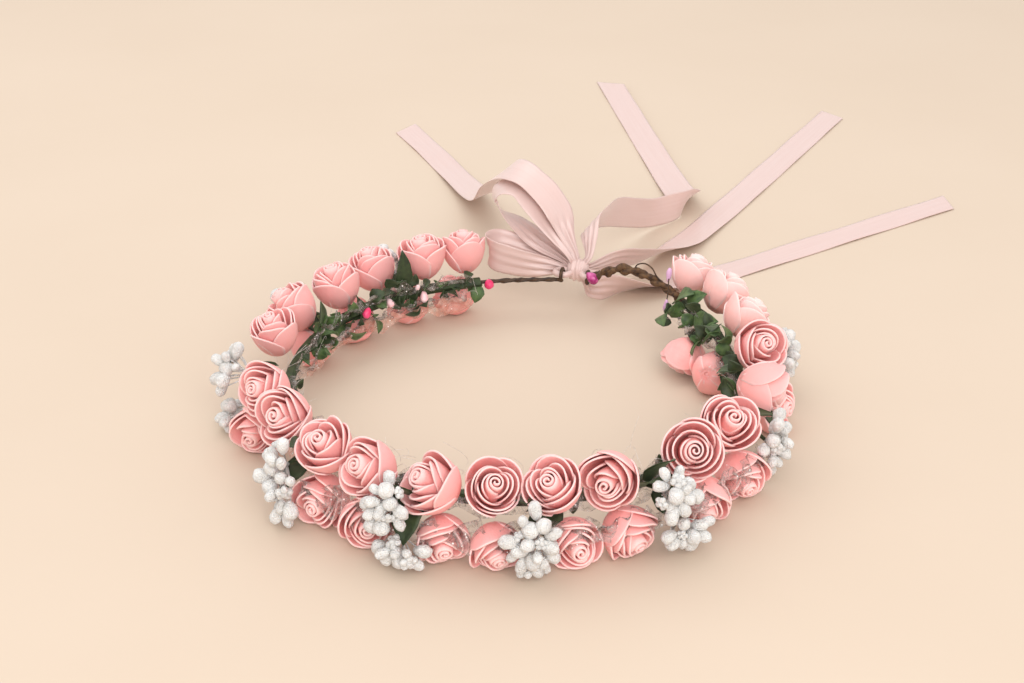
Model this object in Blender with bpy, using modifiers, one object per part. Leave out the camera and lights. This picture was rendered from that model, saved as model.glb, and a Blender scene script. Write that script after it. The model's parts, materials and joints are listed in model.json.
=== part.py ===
"""Flower crown: a wire hoop dressed with foam roses, stamen sprays and leaves, tied at the back
with a satin ribbon bow.

All sizes are in millimetres in the hoop's own coordinates: the hoop's centre is (0, 0), +Y is the
back, where the bow is, and +Z is up. The hoop stands on z = 0 on its lower row of roses.
The empty "crown_base" carries the whole crown and puts the origin under the middle of its box.
"""
import math

import bmesh
import bpy
from mathutils import Matrix, Vector

MM = 0.001

# --- driving dimensions -------------------------------------------------------------------------
HOOP_RADIUS = 85.0          # centre line of the core wire
HOOP_HEIGHT = 18.0          # height of the core wire above the table
BULGE = 6.0                 # the hand-bent hoop widens by this much at the end of the flowers
BULGE_START = 370.0         # degrees, where it starts to widen
RISE = 2.0                  # and it rises by this much there
WIRE_RADIUS = 0.8
TAPE_INNER_RADIUS = 1.1
TAPE_OUTER_RADIUS = 2.2
TWINE_OUTER_RADIUS = 1.8
GAP = 0.3                   # clearance kept between neighbouring pieces
FLOWERS_START = 100.0       # degrees, the flowers run anticlockwise from here ...
FLOWERS_END = 400.0         # ... to here, and the arms are bare behind them

ROSE_RADIUS = 9.2           # widest radius of a rose head
ROSE_SIDES = 10
BEAD_RADIUS = 2.5
RIBBON_WIDTH = 15.0
RIBBON_THICKNESS = 0.5
LEAF_THICKNESS = 0.5

# place of the hoop's centre, so that the origin is under the middle of the whole box
HOOP_CENTRE = (-56.1, -148.85, 0.0)

# the bow swings about the line through the two eyelets of the wire
HINGE_POINT = Vector((25.7, 84.6, 20.5))
HINGE_AXIS = Vector((0.969, -0.247, 0.0)).normalized()
HINGE_OUT = Vector((0.247, 0.969, 0.0)).normalized()
EYELET_OFFSET = 5.6         # each eyelet's distance from HINGE_POINT along the axis
EYELET_RADIUS = 2.6         # centre line of the eyelet's ring
KNOT_OUT = 6.6              # how far outside the axis the knot lies
KNOT_RADII = (4.9, 3.9, 4.6)
STRAND_RADIUS = 1.1

# rose heads: (angle, distance from the centre, height, size)
TOP_ROSES = [
    (103, 97, 28, 0.98), (114.5, 94.5, 29, 1.00), (128, 97, 28, 1.00), (141, 94, 28, 1.00),
    (156, 97, 27.5, 1.05), (170, 94, 28, 0.95), (199, 94, 29, 1.00), (211, 93, 28, 1.05),
    (227.7, 94, 28.5, 1.00), (239.7, 94, 28, 1.02), (253.8, 95, 28, 1.05), (265.7, 94, 28.5, 0.95),
    (277.3, 95, 28.5, 0.98), (289.2, 94, 28.5, 1.02), (309.5, 93, 29, 1.05),
    (323.5, 91.5, 29, 1.05), (343, 93, 28, 1.05), (2, 91.5, 29, 1.02), (18.5, 96, 28, 1.00),
    (31, 99, 29, 1.00), (43, 101, 29, 0.98),
]
LAST_ROOT = 39.0            # a rose that stands past the flowers' end is tied in here
BOTTOM_ROSES = [
    (136, 93, 8.3, 0.95), (194, 97, 8.8, 1.00), (227.5, 96, 8.8, 1.00), (239, 97, 8.3, 0.95),
    (255.6, 96, 8.3, 0.95), (266.2, 97.5, 8.1, 0.92), (281.2, 97, 8.3, 0.95),
    (292.4, 97, 8.8, 1.00), (312, 95, 8.8, 1.00), (325, 96, 8.8, 1.00), (356, 97, 8.8, 1.00),
    (27, 77.0, 8.1, 0.92), (14, 80.0, 8.3, 0.92),
]

# stamen sprays: (angle of the root, height of the hub, tilt of the spray, side lean, beads, reach)
STAMEN_SPRAYS = [
    (120.9, 20.0, 26, 0, 9, 13.5), (183, 20.5, 24, 0, 9, 14.0), (184, 8, -20, 0, 9, 13.5),
    (216.5, 15, 0, -2, 11, 14.5), (247, 20.5, 24, 0, 9, 14.0), (247.5, 8, -20, 0, 9, 13.5),
    (273.7, 16, -2, 0, 11, 14.5), (300, 20, 22, 0, 9, 14.0), (302, 8, -20, 0, 9, 13.5),
    (336.5, 13, -5, 0, 11, 14.5), (11, 16, 0, 0, 10, 14.0),
    (148.2, 20.0, 24, 0, 9, 13.5),
]
SPRAY_SPREAD = 40.0         # half angle of a spray's cone, degrees
HUB_DISTANCE = 98.0         # the hub of a spray from the hoop's centre

# leaves: (angle, distance and height of the root, distance and height of the tip, width)
LEAVES = [
    (124.3, 84.5, 21.3, 82.0, 40.0, 8), (158.5, 84.5, 21.3, 81.5, 35.0, 7),
    (300.0, 88.5, 21.3, 103.0, 36.0, 9),
]

# ribbon stations: centre x, y, z, then the direction across the ribbon, then its share of the
# full width, which is small where the ribbon is gathered into the knot
LOOP_UP = [
    (24.4, 91.5, 26.0, 0.7, 0.5, -0.4, 0.35), (20.5, 95.5, 32.0, 0.75, 0.6, -0.2, 0.7),
    (15.0, 99.5, 40.0, 0.7, 0.7, 0.1, 0.95), (9.0, 103.0, 47.0, 0.5, 0.8, 0.3, 1.0),
    (3.0, 108.0, 51.0, 0.15, 1.0, 0.15, 1.0), (-4.0, 112.0, 50.5, -0.1, 1.0, 0.0, 1.0),
    (-8.5, 114.0, 46.0, -0.2, 1.0, -0.2, 1.0), (-6.5, 112.5, 40.5, -0.1, 0.9, -0.3, 1.0),
    (1.0, 108.5, 35.5, 0.2, 0.9, 0.0, 0.95), (10.0, 103.0, 29.5, 0.5, 0.7, 0.3, 0.7),
    (20.5, 96.3, 24.3, 0.5, 0.5, 0.6, 0.3),
]
LOOP_LEFT = [
    (20.5, 98.3, 18.3, 0.1, 0.3, 0.9, 0.3), (12.0, 100.5, 22.0, 0.3, 0.4, 0.85, 0.7),
    (2.0, 101.5, 25.0, 0.2, 0.3, 0.9, 0.9), (-7.0, 101.5, 27.5, 0.1, 0.3, 0.9, 0.95),
    (-11.0, 97.5, 27.5, -0.1, 0.2, 0.95, 0.95), (-8.0, 94.2, 25.5, -0.2, 0.0, 0.95, 0.95),
    (0.0, 93.6, 23.0, -0.1, -0.1, 0.95, 0.9), (8.0, 93.6, 21.3, 0.0, -0.1, 0.95, 0.8),
    (15.0, 93.8, 20.5, 0.0, -0.1, 0.95, 0.6), (21.6, 93.2, 20.0, 0.1, -0.2, 0.95, 0.3),
]
TAIL_LEFT = [
    (26.0, 93.6, 27.0, 0.7, 0.5, -0.4, 0.3), (22.5, 97.4, 34.6, 0.75, 0.5, -0.2, 0.6),
    (19.0, 101.0, 43.5, 0.7, 0.7, 0.1, 1.0), (12.5, 105.5, 51.5, 0.5, 0.8, 0.3, 1.0),
    (4.5, 112.5, 56.0, 0.3, 0.9, 0.2, 1.0), (-3.0, 125.0, 53.5, 0.5, 0.8, 0.2, 1.0),
    (-9.0, 145.0, 41.0, 0.8, 0.5, 0.3, 1.0), (-14.0, 179.0, 20.0, 0.9, 0.3, 0.3, 1.0),
    (-20.0, 216.0, 6.5, 0.95, 0.25, 0.1, 1.0), (-32.0, 256.0, 1.2, 0.92, 0.38, 0.0, 1.0),
    (-46.0, 292.0, 0.6, 0.93, 0.36, 0.0, 1.0), (-62.0, 329.0, 0.6, 0.93, 0.36, 0.0, 1.0),
]
TAIL_UP = [
    (31.8, 91.6, 26.6, 0.5, -0.8, 0.2, 0.3), (32.4, 96.6, 32.2, 0.6, -0.6, 0.4, 0.55),
    (33.0, 106.0, 35.0, 0.5, -0.4, 0.7, 0.85), (37.5, 119.0, 33.0, 0.35, -0.4, 0.85, 1.0),
    (45.0, 140.0, 27.0, 0.2, -0.3, 0.93, 1.0), (54.5, 161.0, 18.0, 0.1, -0.2, 0.98, 1.0),
    (66.0, 180.0, 10.0, 0.05, -0.1, 1.0, 1.0), (77.0, 191.0, 8.0, 0.03, 0.0, 1.0, 1.0),
    (85.0, 199.0, 8.0, 0.2, -0.3, 0.93, 1.0), (87.0, 210.0, 6.0, 0.8, -0.3, 0.5, 1.0),
    (84.0, 228.0, 3.0, 0.97, 0.05, 0.2, 1.0), (76.0, 290.0, 1.3, 0.99, 0.12, 0.1, 1.0),
    (60.0, 411.0, 1.2, 0.99, 0.12, 0.1, 1.0),
]
TAIL_BACK = [
    (34.0, 95.0, 20.5, 0.3, 0.2, 0.9, 0.3), (45.0, 107.5, 18.5, 0.6, 0.0, 0.7, 0.8),
    (62.0, 130.0, 9.5, 0.75, -0.25, 0.55, 1.0), (77.0, 155.0, 4.0, 0.85, -0.45, 0.2, 1.0),
    (91.0, 180.0, 1.2, 0.86, -0.5, 0.05, 1.0), (128.0, 246.0, 0.6, 0.86, -0.52, 0.0, 1.0),
    (187.0, 353.0, 0.6, 0.86, -0.52, 0.0, 1.0),
]
TAIL_RIGHT = [
    (31.0, 93.0, 14.2, 0.5, 0.5, 0.7, 0.3), (34.0, 97.0, 9.4, 0.5, 0.3, 0.75, 0.6),
    (41.0, 101.5, 7.4, 0.45, 0.0, 0.8, 0.9), (51.0, 106.5, 5.2, 0.4, -0.6, 0.65, 1.0),
    (65.0, 113.0, 2.5, 0.42, -0.85, 0.25, 1.0), (85.0, 124.0, 0.9, 0.45, -0.88, 0.0, 1.0),
    (105.0, 137.0, 0.6, 0.54, -0.84, 0.0, 1.0), (160.0, 175.0, 0.6, 0.57, -0.82, 0.0, 1.0),
    (221.0, 217.0, 0.6, 0.57, -0.82, 0.0, 1.0),
]


# --- scene and materials ------------------------------------------------------------------------
for old in list(bpy.data.objects):
    bpy.data.objects.remove(old, do_unlink=True)

crown_parts = bpy.data.collections.new("flower_crown")
cutters = bpy.data.collections.new("cutters")
bpy.context.scene.collection.children.link(crown_parts)
bpy.context.scene.collection.children.link(cutters)


def material(name, colour, roughness, metallic=0.0):
    """A plain Principled material."""
    made = bpy.data.materials.new(name)
    made.use_nodes = True
    shader = made.node_tree.nodes["Principled BSDF"]
    shader.inputs["Base Color"].default_value = (*colour, 1.0)
    shader.inputs["Roughness"].default_value = roughness
    shader.inputs["Metallic"].default_value = metallic
    return made


STEEL = material("florist_wire", (0.20, 0.17, 0.14), 0.45, 0.8)
TAPE = material("green_floral_tape", (0.05, 0.10, 0.03), 0.75)
TWINE = material("brown_paper_twine", (0.12, 0.06, 0.03), 0.80)
FOAM = material("pink_foam", (0.83, 0.36, 0.37), 0.70)
STAMEN = material("white_stamen_beads", (0.85, 0.84, 0.82), 0.60)
LEAF = material("green_leaf_cloth", (0.05, 0.10, 0.03), 0.60)
SATIN = material("blush_satin", (0.88, 0.66, 0.60), 0.35)


def metres(vector):
    return Vector(vector) * MM


def polar(angle, distance, height):
    """A point in millimetres at an angle in degrees round the hoop's centre."""
    turn = math.radians(angle)
    return Vector((distance * math.cos(turn), distance * math.sin(turn), height))


def on_hoop(angle):
    """The core wire's centre line at an angle in the flowered stretch."""
    around = angle + 360.0 if angle < FLOWERS_START else angle
    t = min(max((around - BULGE_START) / (FLOWERS_END - BULGE_START), 0.0), 1.0)
    ease = t * t * (3.0 - 2.0 * t)
    return polar(angle, HOOP_RADIUS + BULGE * ease, HOOP_HEIGHT + RISE * ease)


def by_hinge(along, out, up):
    """A point in millimetres from the hinge: along its axis, outward and upward."""
    return HINGE_POINT + along * HINGE_AXIS + out * HINGE_OUT + up * Vector((0, 0, 1))


crown_base = bpy.data.objects.new("crown_base", None)
crown_base.location = metres(HOOP_CENTRE)
crown_parts.objects.link(crown_base)

bow_hinge = bpy.data.objects.new("bow_hinge", None)
bow_hinge.parent = crown_base
bow_hinge.matrix_local = Matrix.Translation(metres(HINGE_POINT)) @ Matrix.Rotation(
    math.atan2(HINGE_AXIS.y, HINGE_AXIS.x), 4, "Z")
crown_parts.objects.link(bow_hinge)


def place(obj, finish, parent=crown_base):
    """Link an object made in hoop coordinates, give it its material and parent it."""
    if obj.name not in crown_parts.objects:
        crown_parts.objects.link(obj)
    obj.parent = parent
    if parent is bow_hinge:
        obj.matrix_parent_inverse = bow_hinge.matrix_local.inverted()
    if finish.name not in obj.data.materials:
        obj.data.materials.append(finish)
    return obj


def smooth_path(stations, steps):
    """Points of a Catmull-Rom curve through the stations; a station may carry any numbers."""
    count = len(stations[0])
    first = [2 * a - b for a, b in zip(stations[0], stations[1])]
    last = [2 * a - b for a, b in zip(stations[-1], stations[-2])]
    rows = [first, *stations, last]
    path = []
    for i in range(1, len(rows) - 2):
        for step in range(steps):
            t = step / steps
            point = []
            for k in range(count):
                a, b, c, d = (rows[i + j][k] for j in (-1, 0, 1, 2))
                point.append(0.5 * (2 * b + (c - a) * t + (2 * a - 5 * b + 4 * c - d) * t ** 2
                                    + (3 * b - a - 3 * c + d) * t ** 3))
            path.append(point)
    path.append(list(stations[-1]))
    return path


def tube(name, points, radius, sides_level=2, caps=True):
    """A wire or cord along points in millimetres, as a curve object with round section."""
    curve = bpy.data.curves.new(name, "CURVE")
    curve.dimensions = "3D"
    curve.bevel_depth = radius * MM
    curve.bevel_resolution = sides_level
    curve.use_fill_caps = caps
    spline = curve.splines.new("POLY")
    spline.points.add(len(points) - 1)
    for spot, point in zip(spline.points, points):
        spot.co = (*metres(point), 1.0)
    return bpy.data.objects.new(name, curve)


def as_mesh(curve_object):
    """The curve object's mesh with its caps welded, as a new object of the same name."""
    name = curve_object.name
    crown_parts.objects.link(curve_object)
    bpy.context.view_layer.update()
    graph = bpy.context.evaluated_depsgraph_get()
    mesh = bpy.data.meshes.new_from_object(curve_object.evaluated_get(graph))
    work = bmesh.new()
    work.from_mesh(mesh)
    bmesh.ops.remove_doubles(work, verts=work.verts, dist=0.00001)
    bmesh.ops.recalc_face_normals(work, faces=work.faces)
    work.to_mesh(mesh)
    work.free()
    bpy.data.objects.remove(curve_object, do_unlink=True)
    made = bpy.data.objects.new(name, mesh)
    mesh.shade_smooth()
    return made


def shell(obj, thickness, offset):
    """Give an open surface a thickness in millimetres."""
    solid = obj.modifiers.new("thickness", "SOLIDIFY")
    solid.thickness = thickness * MM
    solid.offset = offset
    solid.use_rim = True
    return obj


def boolean(obj, cutter, operation, use_self=False):
    """Cut or join with a cutter, which is kept out of the model."""
    if cutter.name not in cutters.objects:
        cutters.objects.link(cutter)
        cutter.parent = crown_base
    cutter.hide_render = True
    cutter.display_type = "WIRE"
    modifier = obj.modifiers.new(operation.lower(), "BOOLEAN")
    modifier.operation = operation
    modifier.solver = "EXACT"
    modifier.use_self = use_self
    modifier.object = cutter


# --- hoop ---------------------------------------------------------------------------------------
EYELET_TURN = 290.0         # degrees of ring in each eyelet, which stays open like a hook
EYELET_STEP = 29.0
HOOP_STEP = 7.5             # degrees between points of the flowered stretch
ARM_STEPS = 3               # points between the stations of an arm


def eyelet(side, start, direction):
    """Points of an eyelet's ring, from the angle where the arm joins it."""
    steps = round(EYELET_TURN / EYELET_STEP)
    ring = []
    for i in range(steps + 1):
        turn = math.radians(start + direction * i * EYELET_STEP)
        ring.append(by_hinge(side * EYELET_OFFSET, EYELET_RADIUS * math.cos(turn),
                             EYELET_RADIUS * math.sin(turn)))
    return ring


def left_arm():
    """Centre line of the bare left arm, from the flowers to its eyelet."""
    return [on_hoop(FLOWERS_START), polar(92, 85.6, 18.0), polar(86, 86.6, 17.9),
            by_hinge(-8.5, 0.2, -2.7), by_hinge(-EYELET_OFFSET - 1.2, 0.1, -2.7)]


def right_arm():
    """Centre line of the bare right arm, which arches up before its eyelet."""
    return [on_hoop(FLOWERS_END), Vector((65.5, 62.5, 22.6)), Vector((59.5, 67.2, 25.6)),
            Vector((52.5, 71.6, 27.6)), Vector((45.0, 75.3, 27.8)), Vector((39.0, 77.8, 25.8)),
            by_hinge(9.6, -3.2, 2.4), by_hinge(EYELET_OFFSET + 1.0, -2.8, 0.9)]


def flowered_arc(step):
    count = round((FLOWERS_END - FLOWERS_START) / step)
    return [on_hoop(FLOWERS_START + step * i) for i in range(count + 1)]


def make_hoop():
    """The core wire with its two eyelets, the tape over it and the twine round its bare arms."""
    path = list(reversed(eyelet(-1, -95.0, -1)))
    path += [Vector(p) for p in reversed(smooth_path(left_arm(), ARM_STEPS))]
    path += flowered_arc(HOOP_STEP)[1:-1]
    path += [Vector(p) for p in smooth_path(right_arm(), ARM_STEPS)]
    path += eyelet(1, 185.0, 1)
    place(tube("frame_wire", path, WIRE_RADIUS), STEEL)

    wall = TAPE_OUTER_RADIUS - TAPE_INNER_RADIUS
    sleeve = as_mesh(tube("tape_wrap", flowered_arc(HOOP_STEP), TAPE_OUTER_RADIUS, 1, caps=False))
    place(shell(sleeve, wall, -1.0), TAPE)

    sleeve_wall = TWINE_OUTER_RADIUS - TAPE_INNER_RADIUS
    arms = (("left_arm_twine", left_arm(), 0.10, 0.78), ("right_arm_twine", right_arm(), 0.06, 0.86))
    for name, arm, begin, end in arms:
        route = [Vector(p) for p in smooth_path(arm, ARM_STEPS)]
        first = round(begin * (len(route) - 1))
        last = round(end * (len(route) - 1))
        sleeve = as_mesh(tube(name, route[first:last + 1], TWINE_OUTER_RADIUS, 1, caps=False))
        place(shell(sleeve, sleeve_wall, -1.0), TWINE)


# --- roses --------------------------------------------------------------------------------------
ROSE_PROFILE = [            # (radius, height) of a rose head of unit radius, from its top down
    (0.00, 0.80), (0.45, 0.86), (0.84, 0.62), (1.00, 0.18), (0.92, -0.35), (0.58, -0.76),
    (0.20, -0.92),
]
STEM_RADIUS = 1.1
STEM_GAP = 0.9              # between the end of a stub and the tape it is tied under


def make_rose(name, angle, distance, height, size, cutter=None):
    """A foam rose head with the stub of its stem, turned about the line from the wire."""
    centre = polar(angle, distance, height)
    root = on_hoop(LAST_ROOT) if LAST_ROOT < angle < FLOWERS_START else on_hoop(angle)
    stem = centre - root
    stem_end = stem.length - TAPE_OUTER_RADIUS - STEM_GAP
    radius = ROSE_RADIUS * size
    outline = [(r * radius, z * radius) for r, z in ROSE_PROFILE]
    outline += [(STEM_RADIUS, -0.98 * radius), (STEM_RADIUS, -stem_end), (0.0, -stem_end)]

    mesh = bpy.data.meshes.new(name)
    work = bmesh.new()
    rim = [work.verts.new(metres((r, 0.0, z))) for r, z in outline]
    for upper, lower in zip(rim, rim[1:]):
        work.edges.new((upper, lower))
    work.to_mesh(mesh)
    work.free()

    rose = bpy.data.objects.new(name, mesh)
    turned = rose.modifiers.new("turned", "SCREW")
    turned.steps = ROSE_SIDES
    turned.render_steps = ROSE_SIDES
    turned.use_merge_vertices = True
    turned.merge_threshold = 0.00001
    turned.use_smooth_shade = True
    rose.location = metres(centre)
    rose.rotation_euler = stem.to_track_quat("Z", "Y").to_euler()
    if cutter is not None:
        boolean(rose, cutter, "DIFFERENCE")
    place(rose, FOAM)


def make_roses():
    bpy.ops.mesh.primitive_cube_add(size=0.4, location=(0.0, 0.0, -0.2))
    table = bpy.context.object
    table.name = "table_cutter"
    for holder in list(table.users_collection):
        holder.objects.unlink(table)
    for index, (angle, distance, height, size) in enumerate(TOP_ROSES, 1):
        make_rose(f"rose_top_{index:02d}", angle, distance, height, size)
    for index, (angle, distance, height, size) in enumerate(BOTTOM_ROSES, 1):
        make_rose(f"rose_bottom_{index:02d}", angle, distance, height, size, table)


# --- stamen sprays ------------------------------------------------------------------------------
GOLDEN_ANGLE = 137.5


def bar(work, start, end, radius, sides):
    """Add a straight closed bar between two points in millimetres."""
    span = end - start
    turn = span.to_track_quat("Z", "Y").to_matrix().to_4x4()
    middle = Matrix.Translation(metres((start + end) / 2))
    bmesh.ops.create_cone(work, cap_ends=True, segments=sides, radius1=radius * MM,
                          radius2=radius * MM, depth=span.length * MM, matrix=middle @ turn)


def make_spray(name, angle, height, tilt, lean, beads, reach):
    """White beads on thin wires that fan out of a hub, with one twisted root to the tape."""
    hub = polar(angle, HUB_DISTANCE, height)
    wire_point = on_hoop(angle)
    root_end = wire_point + (hub - wire_point).normalized() * (TAPE_OUTER_RADIUS + GAP)
    facing = Matrix.Rotation(math.radians(angle + lean), 4, "Z") @ Matrix.Rotation(
        math.radians(90 - tilt), 4, "Y")

    work = bmesh.new()
    bmesh.ops.create_icosphere(work, subdivisions=1, radius=1.5 * MM,
                               matrix=Matrix.Translation(metres(hub)))
    for i in range(beads):
        off = math.radians(SPRAY_SPREAD * math.sqrt((i + 0.3) / beads))
        turn = math.radians(i * GOLDEN_ANGLE)
        length = reach * (0.90 + 0.10 * ((i * 7) % 5) / 4)
        way = facing @ Vector((math.sin(off) * math.cos(turn), math.sin(off) * math.sin(turn),
                               math.cos(off)))
        bead = hub + way * length
        bead.z = max(bead.z, BEAD_RADIUS + GAP)
        bmesh.ops.create_icosphere(work, subdivisions=1, radius=BEAD_RADIUS * MM,
                                   matrix=Matrix.Translation(metres(bead))
                                   @ Matrix.Rotation(turn, 4, "X"))
        bar(work, hub, bead, 0.5, 3)
    mesh = bpy.data.meshes.new(name + "_beads")
    work.to_mesh(mesh)
    work.free()
    joined = bpy.data.objects.new(name + "_beads", mesh)

    root_mesh = bpy.data.meshes.new(name)
    work = bmesh.new()
    bar(work, root_end, hub, 1.0, 6)
    work.to_mesh(root_mesh)
    work.free()
    spray = bpy.data.objects.new(name, root_mesh)
    boolean(spray, joined, "UNION", use_self=True)
    place(spray, STAMEN)


# --- leaves -------------------------------------------------------------------------
def make_leaf(name, angle, root_distance, root_height, tip_distance, tip_height, width):
    """A pointed oval cloth leaf, folded a little along its rib, rising from the tape."""
    root = polar(angle, root_distance, root_height)
    tip = polar(angle, tip_distance, tip_height)
    length = (tip - root).length
    along = (tip - root).normalized()
    across = polar(angle + 90.0, 1.0, 0.0)
    upward = along.cross(across).normalized()

    work = bmesh.new()
    bmesh.ops.create_grid(work, x_segments=6, y_segments=2, size=1.0)
    for vert in work.verts:
        t = (vert.co.x + 1) / 2
        half = 0.5 * width * max(math.sin(math.pi * t ** 1.4), 0.12)
        bend = 1.6 * math.sin(math.pi * t) + 0.25 * half * abs(vert.co.y)
        vert.co = metres(root + along * length * t + across * half * vert.co.y + upward * bend)
    bmesh.ops.recalc_face_normals(work, faces=work.faces)
    mesh = bpy.data.meshes.new(name)
    work.to_mesh(mesh)
    work.free()
    mesh.shade_smooth()
    place(shell(bpy.data.objects.new(name, mesh), LEAF_THICKNESS, 0.0), LEAF)


# --- ribbon -------------------------------------------------------------------------------------
def make_ribbon(name, stations, steps):
    """A length of satin ribbon: an open strip along its stations, given a thickness."""
    rows = smooth_path(stations, steps)
    centres = [Vector(row[:3]) for row in rows]
    work = bmesh.new()
    bmesh.ops.create_grid(work, x_segments=len(rows) - 1, y_segments=1, size=1.0)
    for vert in work.verts:
        index = round((vert.co.x + 1) / 2 * (len(rows) - 1))
        before = centres[max(index - 1, 0)]
        after = centres[min(index + 1, len(rows) - 1)]
        along = (after - before).normalized()
        across = Vector(rows[index][3:6])
        across = (across - along * across.dot(along)).normalized()
        half = 0.5 * RIBBON_WIDTH * rows[index][6]
        vert.co = metres(centres[index] + across * half * vert.co.y)
    mesh = bpy.data.meshes.new(name)
    work.to_mesh(mesh)
    work.free()
    mesh.shade_smooth()
    place(shell(bpy.data.objects.new(name, mesh), RIBBON_THICKNESS, 0.0), SATIN, bow_hinge)


def strand(side):
    """Centre line of the ribbon strand that runs from the knot through an eyelet and back."""
    s = side * EYELET_OFFSET
    return [by_hinge(side * 1.5, 5.0, 0.0), by_hinge(s - side * 2.6, 1.6, 0.0),
            by_hinge(s - side * 1.2, 0.2, 0.0), by_hinge(s + side * 1.0, 0.1, 0.0),
            by_hinge(s + side * 2.8, 1.0, 0.0), by_hinge(s + side * 3.4, 3.0, 0.0),
            by_hinge(s + side * 2.2, 4.9, 0.0), by_hinge(s, 5.4, 0.0),
            by_hinge(side * 2.0, 6.4, 0.0)]


def make_knot():
    """The gathered knot, with the two strands that hold it in the wire's eyelets."""
    turn = Matrix.Rotation(math.atan2(HINGE_AXIS.y, HINGE_AXIS.x), 4, "Z")
    spot = Matrix.Translation(metres(by_hinge(0.0, KNOT_OUT, 0.0)))
    size = Matrix.Diagonal((*(r * MM for r in KNOT_RADII), 1.0))
    mesh = bpy.data.meshes.new("bow_knot")
    work = bmesh.new()
    bmesh.ops.create_uvsphere(work, u_segments=14, v_segments=10, radius=1.0,
                              matrix=spot @ turn @ size)
    work.to_mesh(mesh)
    work.free()
    mesh.shade_smooth()
    knot = bpy.data.objects.new("bow_knot", mesh)
    for side, label in ((-1, "left"), (1, "right")):
        path = [Vector(p) for p in smooth_path(strand(side), 2)]
        boolean(knot, as_mesh(tube(f"strand_{label}", path, STRAND_RADIUS)), "UNION")
    place(knot, SATIN, bow_hinge)


make_hoop()
make_roses()
for number, spray in enumerate(STAMEN_SPRAYS, 1):
    make_spray(f"stamen_spray_{number:02d}", *spray)
for number, leaf in enumerate(LEAVES, 1):
    make_leaf(f"leaf_{number:02d}", *leaf)
make_knot()
for label, route, detail in (
        ("bow_loop_up", LOOP_UP, 2), ("bow_loop_left", LOOP_LEFT, 2),
        ("ribbon_tail_left", TAIL_LEFT, 2), ("ribbon_tail_up", TAIL_UP, 2),
        ("ribbon_tail_back", TAIL_BACK, 3), ("ribbon_tail_right", TAIL_RIGHT, 2)):
    make_ribbon(label, route, detail)
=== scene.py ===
"""Looks for the flower crown: foam roses, stamen sprays, leaves, tulle, satin ribbons and twine,
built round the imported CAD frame. Positions are in millimetres in the hoop's own coordinates
(centre of the hoop, +Y towards the bow, +Z up) and at() turns them into the row frame.
"""
import json
import math
import random

import bmesh
import bpy
from mathutils import Matrix, Vector, noise


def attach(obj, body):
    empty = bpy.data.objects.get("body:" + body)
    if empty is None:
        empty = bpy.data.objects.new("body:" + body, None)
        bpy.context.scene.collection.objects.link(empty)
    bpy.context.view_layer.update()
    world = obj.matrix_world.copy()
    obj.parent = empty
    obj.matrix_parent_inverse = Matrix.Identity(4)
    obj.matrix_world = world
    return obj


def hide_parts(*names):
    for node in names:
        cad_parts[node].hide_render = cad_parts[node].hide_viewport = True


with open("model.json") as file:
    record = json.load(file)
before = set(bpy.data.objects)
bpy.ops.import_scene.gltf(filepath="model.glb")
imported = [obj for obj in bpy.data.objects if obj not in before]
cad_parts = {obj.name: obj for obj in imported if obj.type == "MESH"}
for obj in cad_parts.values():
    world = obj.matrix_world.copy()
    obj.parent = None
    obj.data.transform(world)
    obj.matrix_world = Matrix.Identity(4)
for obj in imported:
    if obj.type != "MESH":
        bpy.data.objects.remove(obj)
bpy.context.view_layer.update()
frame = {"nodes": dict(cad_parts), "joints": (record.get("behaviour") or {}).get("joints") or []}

MM = 0.001
HINGE = Vector((25.7, 84.6, 20.5))          # the bow's hinge in hoop coordinates
HINGE_AXIS = Vector((0.969, -0.247, 0.0)).normalized()
HINGE_OUT = Vector((0.247, 0.969, 0.0)).normalized()
ORIGIN = Vector(frame["joints"][0]["pos_m"]) - HINGE * MM


def at(point):
    return ORIGIN + Vector(point) * MM


def polar(angle, distance, height):
    turn = math.radians(angle)
    return Vector((distance * math.cos(turn), distance * math.sin(turn), height))


def direction(azimuth, elevation):
    a, e = math.radians(azimuth), math.radians(elevation)
    return Vector((math.cos(a) * math.cos(e), math.sin(a) * math.cos(e), math.sin(e)))


def link(obj):
    bpy.context.scene.collection.objects.link(obj)
    return obj


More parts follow.
